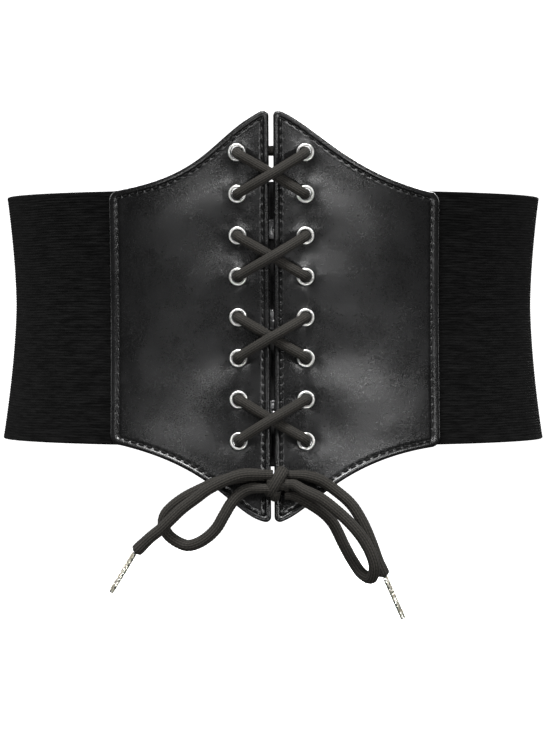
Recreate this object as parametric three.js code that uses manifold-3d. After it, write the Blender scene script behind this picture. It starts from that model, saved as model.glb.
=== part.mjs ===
// A lace-up corset belt: two pointed faux-leather front panels laced together through metal
// eyelets, a wide elastic band round the sides and back, and a snapped placket behind the gap.
// Millimetres, +Z up. The front faces -Y, and the origin is in the middle of the waist.

import * as THREE from 'three';
import { mergeVertices } from 'three/addons/utils/BufferGeometryUtils.js';
import Module from 'manifold-3d';

const wasm = await Module();
wasm.setup();

// The waist that the belt goes round: an ellipse that flares above and below its narrowest height
const WAIST_HALF_WIDTH = 132.7;
const WAIST_HALF_DEPTH = 90.5;
const WAIST_Z = 7;
const FLARE_ABOVE = 6.4;
const FLARE_BELOW = 6.7;
const FLARE_POWER = 1.6;

// Elastic band
const BAND_HEIGHT = 125;
const BAND_THICKNESS = 1.3;
const BAND_TUCK = 12;

// Front panels: each runs from the gap to its outer edge, with a peak above and below
const LEFT_PANEL_WIDTH = 79.7;
const RIGHT_PANEL_WIDTH = 82.7;
const PANEL_HEIGHT = 199.9;
const PANEL_CENTRE_Z = 0.8;
const PANEL_THICKNESS = 2.4;
const LEFT_OUTER_RISE = 62.3;
const RIGHT_OUTER_RISE = 61.6;
const LEFT_OUTER_DROP = 63.7;
const RIGHT_OUTER_DROP = 64.8;
const TIP_RADIUS = 2.6;
const CORNER_RADIUS = 5;
const GAP_TOP = 2.2;
const GAP_BOTTOM = 1.5;
const GAP_SHIFT_TOP = -1.2;
const GAP_SHIFT_BOTTOM = -0.2;

// Small clearance between pieces that are sewn or pressed together
const SEAT = 0.3;
const BAND_SEAT = 0.5;

// Eyelets
const EYELET_ROWS = 8;
const EYELET_PITCH = 20.2;
const EYELET_TOP_DROP = 19.8;
const EYELET_INSET = 15.2;
const EYELET_RADIUS = 4.4;
const EYELET_BORE_RADIUS = 2.9;
const EYELET_WALL = 0.3;
const EYELET_CROWN = 0.85;
const EYELET_SIDES = 12;

// Lace: drawn tight through the eyelets, and fuller where it hangs loose in the bow
const LACE_DIAMETER = 5.1;
const LOOSE_LACE_DIAMETER = 5.8;
const LACE_BEND = 3.1;
const LACE_SIDES = 8;
const AGLET_RADIUS = 1.3;

// Placket behind the gap, closed by snap fasteners
const PLACKET_TOP_DROP = 34.6;
const PLACKET_BOTTOM_RISE = 27.2;
const PLACKET_REACH = 11;
const PLACKET_LAP = 6;
const PLACKET_HEM = 4;
const PLACKET_THICKNESS = 1.2;
const SNAP_COUNT = 3;
const SNAP_PITCH = 44.3;
const SNAP_RISE = 2;
const SNAP_RADIUS = 5;
const SNAP_CROWN = 1.1;
const SNAP_POST_RADIUS = 1.2;
const SNAP_SIDES = 16;

// Bow: where its knot sits, and its size across, out from the panel and up
const KNOT_RISE = 17.9;
const KNOT_SHIFT = 2.4;
const KNOT_WIDTH = 8.7;
const KNOT_DEPTH = 11;
const KNOT_HEIGHT = 15.4;
const KNOT_NECK_HEIGHT = 9;
const KNOT_BACK_WIDTH = 8;
const KNOT_BACK_DEPTH = 5;
const KNOT_BACK_HEIGHT = 8;

// Each free end of the bow by its route, from the knot's middle: across, back and up
const LEFT_TAIL = [
  [-5, -2.6, 4.3], [-7.2, -2.7, 4.4], [-12.4, -3.1, 4.6], [-18, -3.1, 4.2], [-23.5, -2.7, 2.4],
  [-29.1, -2, -0.2], [-34.6, -1.3, -3.3], [-39.4, -0.7, -6.9], [-46.9, 0.2, -12.6],
  [-52.2, 0.9, -17.7], [-56.8, 2, -22.2], [-62.4, 3.6, -26.8], [-69.6, 5.7, -33.8],
];
const LEFT_LOOP = [
  [-5, 2.5, 1.1], [-7.2, 2.6, 1.4], [-13.6, 3, 2.4], [-22.3, 4, 1.9], [-30, 4.6, 0],
  [-39, 5.2, -3.9], [-45.8, 5.9, -7.5], [-51.4, 6.8, -11.7], [-55, 7.6, -15.8], [-56, 8.3, -20],
  [-54.4, 8, -24.6], [-50.3, 7, -28.3], [-44.3, 5.6, -30.6], [-39.6, 4.4, -29.5],
  [-34.9, 3.2, -26.7], [-30.1, 2, -21.9], [-26.6, 1.2, -15.9], [-23.3, 1, -10.3],
  [-19.4, 0.9, -5.6], [-14.3, 0, -2.7], [-8.7, -1.8, -2.4], [-5, -2.2, -2.6],
];
const RIGHT_TAIL = [
  [5, 2.2, 3.7], [7.2, 2.3, 3.7], [12.6, 2.6, 3.4], [20.1, 3.2, 1.1], [26.8, 3.4, -3.4],
  [34.7, 2.4, -10.2], [40, 2, -18.3], [45, 2.4, -29.7], [48, 3, -38], [51.2, 4, -45.3],
];
const RIGHT_LOOP = [
  [5.1, -2.8, -0.3], [7.2, -3.1, -0.4], [12, -4.8, -3.2], [20.1, -6, -7.1], [27.8, -6.6, -13],
  [34.5, -6.7, -19.3], [40.1, -6.4, -26.2], [44.1, -5.5, -33.6], [45.9, -3.8, -40.3],
  [44.5, 0.4, -45.9], [40.2, 5, -44.2], [35.6, 7.6, -37.9], [31.6, 8.2, -30.6],
  [28.6, 7.4, -24.3], [26.5, 6.2, -20.3], [23.5, 4.6, -16.5], [19.4, 2.8, -13], [15, 1.2, -10.1],
  [10.5, 1, -7.6], [7, 1.6, -6.2], [5, 1.7, -5.8],
];
const LEFT_AGLET = [[-70, 5.85, -34.4], [-81.6, 9.1, -53.6]];
const RIGHT_AGLET = [[51.4, 4.1, -45.75], [60.3, 6.5, -66]];

// Worked out from the sizes above
const PANEL_TOP_Z = PANEL_CENTRE_Z + PANEL_HEIGHT / 2;
const PANEL_BOTTOM_Z = PANEL_CENTRE_Z - PANEL_HEIGHT / 2;
const EYELET_TOP_Z = PANEL_TOP_Z - EYELET_TOP_DROP;
const KNOT_Z = PANEL_BOTTOM_Z + KNOT_RISE;
const PLACKET_TOP_Z = PANEL_TOP_Z - PLACKET_TOP_DROP;
const PLACKET_BOTTOM_Z = PANEL_BOTTOM_Z + PLACKET_BOTTOM_RISE;
const SNAP_MIDDLE_Z = (PLACKET_TOP_Z + PLACKET_BOTTOM_Z) / 2 + SNAP_RISE;
const PANEL_BACK = BAND_THICKNESS + BAND_SEAT;
const PANEL_FACE = PANEL_BACK + PANEL_THICKNESS;
const EYELET_HOLE_RADIUS = EYELET_BORE_RADIUS + EYELET_WALL + SEAT;
const FLARE_REACH = BAND_HEIGHT / 2 + WAIST_Z;

const materials = {
  leather: new THREE.MeshStandardMaterial({ color: 0x353535, roughness: 0.5 }),
  elastic: new THREE.MeshStandardMaterial({ color: 0x141414, roughness: 0.9 }),
  metal: new THREE.MeshStandardMaterial({ color: 0xd8d8d6, roughness: 0.2, metalness: 1 }),
  lace: new THREE.MeshStandardMaterial({ color: 0x474441, roughness: 0.85 }),
  placket: new THREE.MeshStandardMaterial({ color: 0x0c0c0c, roughness: 0.9 }),
};

const mix = (from, to, share) => from + (to - from) * share;

// Angle round the waist ellipse that lies a given distance along it from the front centre
const ARC_STEPS = 720;
const arcLengths = [0];
for (let i = 0; i < ARC_STEPS; i++) {
  const angle = ((i + 0.5) / ARC_STEPS) * Math.PI;
  const speed = Math.hypot(WAIST_HALF_WIDTH * Math.cos(angle), WAIST_HALF_DEPTH * Math.sin(angle));
  arcLengths.push(arcLengths[i] + (speed * Math.PI) / ARC_STEPS);
}
const HALF_ROUND = arcLengths[ARC_STEPS];

function angleAt(along) {
  const length = Math.min(Math.abs(along), HALF_ROUND);
  let i = 1;
  while (i < ARC_STEPS && arcLengths[i] < length) i++;
  const share = (length - arcLengths[i - 1]) / (arcLengths[i] - arcLengths[i - 1]);
  return (Math.sign(along) * Math.PI * (i - 1 + share)) / ARC_STEPS;
}

// How far the waist line has flared out at a height, and how steeply it does so there
function flareAt(z) {
  const away = (z - WAIST_Z) / FLARE_REACH;
  return (away > 0 ? FLARE_ABOVE : FLARE_BELOW) * Math.abs(away) ** FLARE_POWER;
}

function flareSlopeAt(z) {
  const away = (z - WAIST_Z) / FLARE_REACH;
  return away ? (FLARE_POWER * flareAt(z)) / (away * FLARE_REACH) : 0;
}

// Outward direction of the waist surface at a distance along and a height
function normalAt(along, z) {
  const angle = angleAt(along);
  const halfWidth = WAIST_HALF_WIDTH + flareAt(z);
  const halfDepth = WAIST_HALF_DEPTH + flareAt(z);
  const [s, c] = [Math.sin(angle), Math.cos(angle)];
  const rise = -flareSlopeAt(z) * (halfWidth * c * c + halfDepth * s * s);
  return new THREE.Vector3(halfDepth * s, -halfWidth * c, rise).normalize();
}

// A point that stands out from the waist surface by a given distance
function surfacePoint(along, z, out) {
  const angle = angleAt(along);
  const halfWidth = WAIST_HALF_WIDTH + flareAt(z);
  const halfDepth = WAIST_HALF_DEPTH + flareAt(z);
  const base = new THREE.Vector3(halfWidth * Math.sin(angle), -halfDepth * Math.cos(angle), z);
  return base.addScaledVector(normalAt(along, z), out);
}

// Place along the waist of the gap's middle, and half its width, at a height
const panelShare = (z) => (z - PANEL_BOTTOM_Z) / PANEL_HEIGHT;
const gapMiddleAt = (z) => mix(GAP_SHIFT_BOTTOM, GAP_SHIFT_TOP, panelShare(z));
const halfGapAt = (z) => mix(GAP_BOTTOM, GAP_TOP, panelShare(z)) / 2;

// A closed wall on the waist surface. Each column is { top, bottom, alongAt, back, face }.
function curvedWall(columns, rows) {
  const position = [];
  const index = [];
  const at = (layer, i, j) => (layer * columns.length + i) * (rows + 1) + j;
  for (const layer of ['face', 'back']) {
    for (const column of columns) {
      for (let j = 0; j <= rows; j++) {
        const z = mix(column.bottom, column.top, j / rows);
        position.push(...surfacePoint(column.alongAt(z), z, column[layer]).toArray());
      }
    }
  }
  const quad = (a, b, c, d) => index.push(a, b, c, a, c, d);
  const last = columns.length - 1;
  for (let i = 0; i < last; i++) {
    for (let j = 0; j < rows; j++) {
      quad(at(0, i, j), at(0, i + 1, j), at(0, i + 1, j + 1), at(0, i, j + 1));
      quad(at(1, i, j), at(1, i, j + 1), at(1, i + 1, j + 1), at(1, i + 1, j));
    }
    quad(at(0, i, 0), at(1, i, 0), at(1, i + 1, 0), at(0, i + 1, 0));
    quad(at(0, i, rows), at(0, i + 1, rows), at(1, i + 1, rows), at(1, i, rows));
  }
  for (let j = 0; j < rows; j++) {
    quad(at(0, 0, j), at(0, 0, j + 1), at(1, 0, j + 1), at(1, 0, j));
    quad(at(0, last, j), at(1, last, j), at(1, last, j + 1), at(0, last, j + 1));
  }
  const geometry = new THREE.BufferGeometry();
  geometry.setAttribute('position', new THREE.Float32BufferAttribute(position, 3));
  geometry.setIndex(index);
  return geometry;
}

function solidOf(geometry) {
  const bare = geometry.clone();
  bare.deleteAttribute('normal');
  bare.deleteAttribute('uv');
  const merged = mergeVertices(bare, 1e-4);
  return new wasm.Manifold(new wasm.Mesh({
    numProp: 3,
    vertProperties: new Float32Array(merged.attributes.position.array),
    triVerts: new Uint32Array(merged.index.array),
  }));
}

function geometryOf(solid) {
  const mesh = solid.getMesh();
  const geometry = new THREE.BufferGeometry();
  geometry.setAttribute('position', new THREE.BufferAttribute(mesh.vertProperties, 3));
  geometry.setIndex(new THREE.BufferAttribute(mesh.triVerts, 1));
  return geometry;
}

// Frame on the waist surface: X back along the belt, Y outward, Z up the wall
function frameAt(along, z, out) {
  const outward = normalAt(along, z);
  const across = new THREE.Vector3(0, 0, 1).cross(outward).normalize();
  const up = new THREE.Vector3().crossVectors(outward, across);
  const matrix = new THREE.Matrix4().makeBasis(across.negate(), outward, up);
  return matrix.setPosition(surfacePoint(along, z, out));
}

const root = new THREE.Group();

function addMesh(name, geometry, material, matrix) {
  const mesh = new THREE.Mesh(geometry, material);
  mesh.name = name;
  if (matrix) mesh.applyMatrix4(matrix);
  root.add(mesh);
  return mesh;
}

// Distance along the waist line that keeps a flat-cut width true where the line has flared out
const trueAlong = (along, z) => (along * WAIST_HALF_WIDTH) / (WAIST_HALF_WIDTH + flareAt(z));

// Place along the waist at a distance across a panel from its inner edge
const panelAlong = (sign, across, z) => (
  trueAlong(gapMiddleAt(z) + sign * (halfGapAt(z) + across), z)
);

// The hollow edge of a panel leaves its tip at slopeDeg and runs on that way for the reach, a share
// of the panel's width. It turns level near turnAcross, a share of the width, where its rise above
// the outer corner is turnRise, a share of the tip's.
const sides = [
  {
    name: 'left', sign: -1, width: LEFT_PANEL_WIDTH,
    upper: { outer: LEFT_OUTER_RISE, slopeDeg: 27.7, reach: 0.345, turnAcross: 0.37, turnRise: 0.176 },
    lower: { outer: LEFT_OUTER_DROP, slopeDeg: 12.1, reach: 0.202, turnAcross: 0.324, turnRise: 0.267 },
  },
  {
    name: 'right', sign: 1, width: RIGHT_PANEL_WIDTH,
    upper: { outer: RIGHT_OUTER_RISE, slopeDeg: 22.5, reach: 0.22, turnAcross: 0.437, turnRise: 0.218 },
    lower: { outer: RIGHT_OUTER_DROP, slopeDeg: 20.7, reach: 0.205, turnAcross: 0.385, turnRise: 0.171 },
  },
];
const eyeletZ = (row) => EYELET_TOP_Z - row * EYELET_PITCH;
const eyeletAlong = (sign, z) => panelAlong(sign, EYELET_INSET, z);

// Upper or lower edge of a panel as [distance across, height from the panel's centre] points:
// a round tip, a hollow slope and a round outer corner
function panelEdge(width, edge) {
  const peak = PANEL_HEIGHT / 2;
  const slope = THREE.MathUtils.degToRad(edge.slopeDeg);
  const points = [];
  const tipSteps = 4;
  for (let i = 0; i <= tipSteps; i++) {
    const angle = mix(Math.PI, Math.PI / 2 - slope, i / tipSteps);
    points.push([TIP_RADIUS * (1 + Math.cos(angle)), peak - TIP_RADIUS * (1 - Math.sin(angle))]);
  }
  const start = new THREE.Vector2(...points[tipSteps]);
  const down = new THREE.Vector2(Math.cos(slope), -Math.sin(slope));
  const hollow = new THREE.CubicBezierCurve(
    start,
    start.clone().addScaledVector(down, edge.reach * width),
    new THREE.Vector2(edge.turnAcross * width, mix(edge.outer, peak, edge.turnRise)),
    new THREE.Vector2(width - CORNER_RADIUS, edge.outer),
  );
  const hollowSteps = 12;
  for (let i = 1; i <= hollowSteps; i++) points.push(hollow.getPoint(i / hollowSteps).toArray());
  const cornerSteps = 3;
  for (let i = 1; i <= cornerSteps; i++) {
    const angle = mix(Math.PI / 2, 0, i / cornerSteps);
    points.push([
      width - CORNER_RADIUS * (1 - Math.cos(angle)),
      edge.outer - CORNER_RADIUS * (1 - Math.sin(angle)),
    ]);
  }
  return points;
}

function panel({ sign, width, upper, lower }) {
  const lowerEdge = panelEdge(width, lower);
  const columns = panelEdge(width, upper).map(([across, rise], i) => ({
    top: PANEL_CENTRE_Z + rise,
    bottom: PANEL_CENTRE_Z - lowerEdge[i][1],
    alongAt: (z) => panelAlong(sign, across, z),
    back: PANEL_BACK,
    face: PANEL_FACE,
  }));
  if (sign < 0) columns.reverse();
  const rows = 10;
  let solid = solidOf(curvedWall(columns, rows));
  const drill = new THREE.CylinderGeometry(
    EYELET_HOLE_RADIUS, EYELET_HOLE_RADIUS, 4 * PANEL_THICKNESS, EYELET_SIDES,
  );
  for (let row = 0; row < EYELET_ROWS; row++) {
    const z = eyeletZ(row);
    const hole = drill.clone().applyMatrix4(frameAt(eyeletAlong(sign, z), z, PANEL_FACE));
    solid = solid.subtract(solidOf(hole));
  }
  return geometryOf(solid);
}

// Elastic band: a wall from behind one panel's outer edge round the back to behind the other's
function band() {
  const start = panelAlong(1, RIGHT_PANEL_WIDTH, 0) - BAND_TUCK;
  const end = 2 * HALF_ROUND + panelAlong(-1, LEFT_PANEL_WIDTH, 0) + BAND_TUCK;
  const steps = 32;
  const columns = [];
  for (let i = 0; i <= steps; i++) {
    const along = mix(start, end, i / steps);
    columns.push({
      top: BAND_HEIGHT / 2,
      bottom: -BAND_HEIGHT / 2,
      alongAt: () => (along > HALF_ROUND ? along - 2 * HALF_ROUND : along),
      back: 0,
      face: BAND_THICKNESS,
    });
  }
  const rows = 6;
  return curvedWall(columns, rows);
}

// Eyelet: a barrel through the panel with a domed flange in front and a rolled one behind
function eyelet() {
  const barrel = EYELET_BORE_RADIUS + EYELET_WALL;
  const back = -PANEL_THICKNESS - SEAT;
  const profile = [
    [EYELET_BORE_RADIUS, back - 0.9 * EYELET_CROWN],
    [EYELET_BORE_RADIUS, 0.5 * EYELET_CROWN],
    [mix(EYELET_BORE_RADIUS, EYELET_RADIUS, 0.36), SEAT + EYELET_CROWN],
    [mix(EYELET_BORE_RADIUS, EYELET_RADIUS, 0.78), SEAT + 0.8 * EYELET_CROWN],
    [EYELET_RADIUS, SEAT],
    [barrel, SEAT],
    [barrel, back],
    [0.85 * EYELET_RADIUS, back],
  ].map(([radius, height]) => new THREE.Vector2(radius, height));
  profile.push(profile[0].clone());
  return new THREE.LatheGeometry(profile.reverse(), EYELET_SIDES);
}

// A curve whose even steps fall on its own points, so that bends get more rings than straights
class RingPath extends THREE.CatmullRomCurve3 {
  getUtoTmapping(u) {
    return u;
  }
}

function tube(points, diameter, path, steps) {
  const section = new THREE.Shape();
  for (let i = 0; i < LACE_SIDES; i++) {
    const angle = (2 * Math.PI * i) / LACE_SIDES;
    const [x, y] = [Math.cos(angle), Math.sin(angle)].map((share) => (share * diameter) / 2);
    if (i) section.lineTo(x, y);
    else section.moveTo(x, y);
  }
  return new THREE.ExtrudeGeometry(section, { steps, bevelEnabled: false, extrudePath: path });
}

// The laced part of the cord, from one end behind the lower gap, through every eyelet, to the other
const FRONT_RUN = SEAT + EYELET_CROWN + SEAT + LACE_DIAMETER / 2;
const BACK_RUN = PANEL_THICKNESS + SEAT + 0.9 * EYELET_CROWN + SEAT + LACE_DIAMETER / 2;

function lacingHole(sign, row) {
  const z = eyeletZ(row);
  const along = eyeletAlong(sign, z);
  return { along, z, centre: surfacePoint(along, z, PANEL_FACE), outward: normalAt(along, z) };
}

// Quarter turn from a hole's axis, on its front or back, toward another point
function laceBend(hole, toward, isFront) {
  const level = isFront ? FRONT_RUN : -BACK_RUN;
  const outward = hole.outward.clone().multiplyScalar(isFront ? 1 : -1);
  const way = toward.clone().sub(hole.centre);
  way.addScaledVector(outward, -way.dot(outward)).normalize();
  const start = hole.centre.clone().addScaledVector(hole.outward, level);
  start.addScaledVector(outward, -LACE_BEND);
  const points = [];
  for (const degrees of [0, 45, 90]) {
    const angle = THREE.MathUtils.degToRad(degrees);
    const point = start.clone().addScaledVector(outward, LACE_BEND * Math.sin(angle));
    points.push(point.addScaledVector(way, LACE_BEND * (1 - Math.cos(angle))));
  }
  return points;
}

function laceRun(from, to, isFront, shares, lift) {
  const points = laceBend(from, to.centre, isFront);
  for (const share of shares) {
    const level = isFront ? FRONT_RUN : -BACK_RUN;
    const height = level + (lift - level) * Math.sin(Math.PI * share) ** 2;
    points.push(surfacePoint(
      mix(from.along, to.along, share), mix(from.z, to.z, share), PANEL_FACE + height,
    ));
  }
  return points.concat(laceBend(to, from.centre, isFront).reverse());
}

// From the last hole down behind the panel and in to the neck of the knot
function laceEnd(hole) {
  const sign = Math.sign(hole.along);
  const below = surfacePoint(hole.along, hole.z - EYELET_PITCH, PANEL_FACE);
  const points = laceBend(hole, below, false);
  const inner = sign * (KNOT_BACK_WIDTH / 2 + SEAT);
  for (const [inShare, downShare] of [[0, 0.42], [0.14, 0.72], [0.5, 0.94], [0.8, 1], [1, 1]]) {
    points.push(surfacePoint(
      mix(hole.along, inner, inShare), mix(hole.z, KNOT_Z, downShare), PANEL_FACE - BACK_RUN,
    ));
  }
  return points;
}

// One half of the lacing, from its hole at the top down to its end
function laceHalf(startSign) {
  const underLift = SEAT + LACE_DIAMETER / 2;
  const overLift = underLift + LACE_DIAMETER + SEAT;
  const points = [];
  let sign = startSign;
  for (let row = 0; row < EYELET_ROWS; row += 2) {
    const upper = lacingHole(sign, row);
    const lower = lacingHole(-sign, row + 1);
    const lift = sign > 0 ? overLift : underLift;
    points.push(...laceRun(upper, lower, true, [0.28, 0.5, 0.72], lift));
    sign = -sign;
    if (row + 2 < EYELET_ROWS) {
      points.push(...laceRun(lower, lacingHole(sign, row + 2), false, [0.5], -BACK_RUN));
    } else {
      points.push(...laceEnd(lower));
    }
  }
  return points;
}

function lacing() {
  const bar = laceRun(lacingHole(-1, 0), lacingHole(1, 0), false, [0.3, 0.5, 0.7], -BACK_RUN);
  const points = laceHalf(-1).reverse().concat(bar, laceHalf(1));
  const path = new RingPath(points, false, 'centripetal');
  return tube(points, LACE_DIAMETER, path, points.length - 1);
}

// Placket half: hemmed behind one panel's inner edge, and stepping back behind the snap caps
function placket(sign) {
  const isFront = sign < 0;
  const seam = PANEL_BACK - SEAT;
  const frontLap = seam - SNAP_CROWN - SEAT;
  const lapFace = isFront ? frontLap : frontLap - PLACKET_THICKNESS - SEAT;
  const stepEnd = isFront ? PLACKET_LAP : PLACKET_LAP + SEAT;
  const columns = [
    [PLACKET_REACH, seam], [PLACKET_REACH - PLACKET_HEM, seam], [stepEnd, lapFace],
    [0, lapFace], [-PLACKET_LAP, lapFace],
  ].map(([along, face]) => ({
    top: PLACKET_TOP_Z,
    bottom: PLACKET_BOTTOM_Z,
    alongAt: () => sign * along,
    back: face - PLACKET_THICKNESS,
    face,
  }));
  if (!isFront) columns.reverse();
  const rows = 10;
  let solid = solidOf(curvedWall(columns, rows));
  const holeRadius = SNAP_POST_RADIUS + SEAT;
  const drill = new THREE.CylinderGeometry(
    holeRadius, holeRadius, 4 * PLACKET_THICKNESS, SNAP_SIDES / 2,
  );
  for (const z of snapHeights()) {
    const hole = drill.clone().applyMatrix4(frameAt(0, z, lapFace - PLACKET_THICKNESS / 2));
    solid = solid.subtract(solidOf(hole));
  }
  return geometryOf(solid);
}

function snapHeights() {
  return Array.from({ length: SNAP_COUNT }, (_, i) => (
    SNAP_MIDDLE_Z + SNAP_PITCH * ((SNAP_COUNT - 1) / 2 - i)
  ));
}

// Snap fastener: a low cap, a post through both placket halves and a disc behind them
function snap() {
  const through = 2 * PLACKET_THICKNESS + SEAT;
  const profile = [
    [0, -through - SEAT - 0.8 * SNAP_CROWN],
    [0.6 * SNAP_RADIUS, -through - SEAT - 0.8 * SNAP_CROWN],
    [0.7 * SNAP_RADIUS, -through - SEAT],
    [SNAP_POST_RADIUS, -through - SEAT],
    [SNAP_POST_RADIUS, SEAT],
    [SNAP_RADIUS, SEAT],
    [SNAP_RADIUS, 0.5 * SNAP_CROWN],
    [0.8 * SNAP_RADIUS, 0.85 * SNAP_CROWN],
    [0, SNAP_CROWN],
  ].map(([radius, height]) => new THREE.Vector2(radius, height));
  return new THREE.LatheGeometry(profile, SNAP_SIDES);
}

// Knot of the bow, with the neck of lace that comes through the gap and the bight behind it
const knotCentre = surfacePoint(KNOT_SHIFT, KNOT_Z, PANEL_FACE + SEAT + KNOT_DEPTH / 2);

function knot() {
  const corner = KNOT_DEPTH / 3;
  const [halfDepth, halfHeight] = [KNOT_DEPTH / 2 - corner, KNOT_HEIGHT / 2 - corner];
  const outline = new THREE.Shape();
  outline.absarc(halfDepth, halfHeight, corner, 0, Math.PI / 2);
  outline.absarc(-halfDepth, halfHeight, corner, Math.PI / 2, Math.PI);
  outline.absarc(-halfDepth, -halfHeight, corner, Math.PI, 1.5 * Math.PI);
  outline.absarc(halfDepth, -halfHeight, corner, 1.5 * Math.PI, 2 * Math.PI);
  const wrap = new THREE.ExtrudeGeometry(outline, {
    depth: KNOT_WIDTH, bevelEnabled: false, curveSegments: 4,
  });
  wrap.translate(0, 0, -KNOT_WIDTH / 2).rotateY(Math.PI / 2).rotateX(Math.PI / 2);
  wrap.applyMatrix4(frameAt(KNOT_SHIFT, KNOT_Z, PANEL_FACE + SEAT + KNOT_DEPTH / 2));

  const neckWidth = 2 * halfGapAt(KNOT_Z) - 2 * SEAT;
  const neckBack = PANEL_THICKNESS + SEAT + KNOT_BACK_DEPTH / 2;
  const neckFront = SEAT + KNOT_DEPTH / 2;
  const neck = new THREE.BoxGeometry(neckWidth, neckBack + neckFront, KNOT_NECK_HEIGHT);
  neck.translate(0, (neckFront - neckBack) / 2, 0);
  neck.applyMatrix4(frameAt(gapMiddleAt(KNOT_Z), KNOT_Z, PANEL_FACE));

  const bight = new THREE.BoxGeometry(KNOT_BACK_WIDTH, KNOT_BACK_DEPTH, KNOT_BACK_HEIGHT);
  bight.translate(0, -PANEL_THICKNESS - SEAT - KNOT_BACK_DEPTH / 2, 0);
  bight.applyMatrix4(frameAt(0, KNOT_Z, PANEL_FACE));
  return geometryOf(solidOf(wrap).add(solidOf(neck)).add(solidOf(bight)));
}

// A free stretch of lace along a route from the knot's middle
function looseLace(route) {
  const points = route.map((point) => new THREE.Vector3(...point).add(knotCentre));
  const path = new THREE.CatmullRomCurve3(points, false, 'centripetal');
  const steps = Math.round(path.getLength() / (1.25 * LOOSE_LACE_DIAMETER));
  return tube(points, LOOSE_LACE_DIAMETER, path, steps);
}

function addAglet(name, [start, end]) {
  const from = new THREE.Vector3(...start).add(knotCentre);
  const to = new THREE.Vector3(...end).add(knotCentre);
  const way = to.clone().sub(from);
  const sidesRound = 12;
  const geometry = new THREE.CylinderGeometry(AGLET_RADIUS, AGLET_RADIUS, way.length(), sidesRound);
  const mesh = addMesh(name, geometry, materials.metal);
  mesh.quaternion.setFromUnitVectors(new THREE.Vector3(0, 1, 0), way.normalize());
  mesh.position.copy(from.add(to).multiplyScalar(0.5));
}

addMesh('elastic_band', band(), materials.elastic);
for (const side of sides) {
  const { name, sign } = side;
  addMesh(`panel_${name}`, panel(side), materials.leather);
  addMesh(`placket_${name}`, placket(sign), materials.placket);
  for (let row = 0; row < EYELET_ROWS; row++) {
    const z = eyeletZ(row);
    const frame = frameAt(eyeletAlong(sign, z), z, PANEL_FACE);
    addMesh(`eyelet_${name}_${row + 1}`, eyelet(), materials.metal, frame);
  }
}
const capFace = PANEL_BACK - SEAT - SNAP_CROWN - SEAT;
snapHeights().forEach((z, i) => {
  addMesh(`snap_${i + 1}`, snap(), materials.metal, frameAt(0, z, capFace));
});
addMesh('lacing', lacing(), materials.lace);
addMesh('bow_knot', knot(), materials.lace);
addMesh('bow_tail_left', looseLace(LEFT_TAIL), materials.lace);
addMesh('bow_loop_left', looseLace(LEFT_LOOP), materials.lace);
addMesh('bow_tail_right', looseLace(RIGHT_TAIL), materials.lace);
addMesh('bow_loop_right', looseLace(RIGHT_LOOP), materials.lace);
addAglet('aglet_left', LEFT_AGLET);
addAglet('aglet_right', RIGHT_AGLET);

export default root;
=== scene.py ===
"""Looks of the corset belt: grained leather panels, ribbed elastic, nickel eyelets, braided lace."""

import math

import bpy
import numpy as np
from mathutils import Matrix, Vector


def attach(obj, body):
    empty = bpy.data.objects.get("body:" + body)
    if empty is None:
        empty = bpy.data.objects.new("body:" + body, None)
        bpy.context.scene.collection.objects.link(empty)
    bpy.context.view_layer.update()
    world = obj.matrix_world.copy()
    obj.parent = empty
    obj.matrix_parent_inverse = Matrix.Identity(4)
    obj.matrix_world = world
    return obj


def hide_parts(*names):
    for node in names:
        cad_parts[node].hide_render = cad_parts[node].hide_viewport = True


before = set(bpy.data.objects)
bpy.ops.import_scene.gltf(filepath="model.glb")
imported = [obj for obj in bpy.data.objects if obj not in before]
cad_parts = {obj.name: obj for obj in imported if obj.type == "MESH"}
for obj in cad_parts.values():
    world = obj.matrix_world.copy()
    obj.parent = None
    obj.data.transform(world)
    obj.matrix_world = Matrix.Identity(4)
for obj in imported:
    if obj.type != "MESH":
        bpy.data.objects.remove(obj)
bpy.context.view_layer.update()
MM = 0.001

# The camera stands as it did for the photograph: sizes in pixels of the photograph, distance in mm
PHOTO_WIDTH = 550
PHOTO_HEIGHT = 733
HORIZON_ROW = 318
MIDDLE_COLUMN = 273.3
FRONT_SCALE = 0.4866
FRONT_DEPTH = 96
CAMERA_DISTANCE = 1400
SENSOR = 36
CLIP_END = 50

# Sizes of the belt in millimetres, as in the part's source
WAIST_HALF_WIDTH = 132.7
WAIST_HALF_DEPTH = 90.5
WAIST_Z = 7
FLARE_ABOVE = 6.4
FLARE_BELOW = 6.7
FLARE_POWER = 1.6
BAND_HEIGHT = 125
BAND_THICKNESS = 1.3
BAND_TUCK = 12
LEFT_PANEL_WIDTH = 79.7
RIGHT_PANEL_WIDTH = 82.7
PANEL_HEIGHT = 199.9
PANEL_CENTRE_Z = 0.8
PANEL_THICKNESS = 2.4
LEFT_OUTER_RISE = 62.3
RIGHT_OUTER_RISE = 61.6
LEFT_OUTER_DROP = 63.7
RIGHT_OUTER_DROP = 64.8
TIP_RADIUS = 2.6
CORNER_RADIUS = 5
GAP_TOP = 2.2
GAP_BOTTOM = 1.5
GAP_SHIFT_TOP = -1.2
GAP_SHIFT_BOTTOM = -0.2
SEAT = 0.3
BAND_SEAT = 0.5
EYELET_ROWS = 8
EYELET_PITCH = 20.2
EYELET_TOP_DROP = 19.8
EYELET_INSET = 15.2
EYELET_RADIUS = 4.4
EYELET_BORE_RADIUS = 2.9
EYELET_WALL = 0.3
EYELET_CROWN = 0.85
LACE_DIAMETER = 5.1
LOOSE_LACE_DIAMETER = 5.8
LACE_BEND = 3.1
AGLET_RADIUS = 1.3
PLACKET_TOP_DROP = 34.6
PLACKET_BOTTOM_RISE = 27.2
PLACKET_REACH = 11
PLACKET_LAP = 6
PLACKET_HEM = 4
PLACKET_THICKNESS = 1.2
SNAP_COUNT = 3
SNAP_PITCH = 44.3
SNAP_RISE = 2
SNAP_RADIUS = 5
SNAP_CROWN = 1.1
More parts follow.
